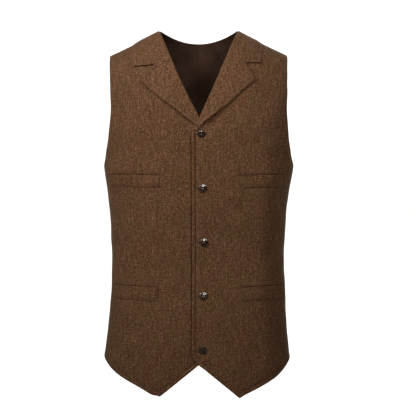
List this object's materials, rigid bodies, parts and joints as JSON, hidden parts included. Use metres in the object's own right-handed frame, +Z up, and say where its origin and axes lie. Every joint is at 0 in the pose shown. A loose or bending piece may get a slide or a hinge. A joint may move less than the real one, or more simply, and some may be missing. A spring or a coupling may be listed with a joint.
{
  "type": "suit waistcoat",
  "caption": "Single-breasted suit waistcoat with notched lapels, welt pockets and pointed fronts, buttoned closed and hollow as worn.",
  "frame": {"origin": "middle of the neck opening, level with the two neck points where the shoulder seams begin", "axes": "+Z up along the wearer, the fronts face -Y, the wearer's left is +X"},
  "size_m": [0.363, 0.2297, 0.6933],
  "materials": {
    "tweed": "brown wool herringbone tweed, brushed",
    "satin": "dark brown woven satin",
    "horn": "polished dark brown horn"
  },
  "bodies": {
    "root": {"front_left": "tweed", "front_right": "tweed", "back_left": "satin", "back_right": "satin", "lapel_left": "tweed", "lapel_right": "tweed", "collar_left": "tweed", "collar_right": "tweed", "welt_upper_left": "tweed", "welt_upper_right": "tweed", "welt_lower_left": "tweed", "welt_lower_right": "tweed", "button_1": "horn", "button_2": "horn", "button_3": "horn", "button_4": "horn", "button_5": "horn"}
  },
  "joints": []
}
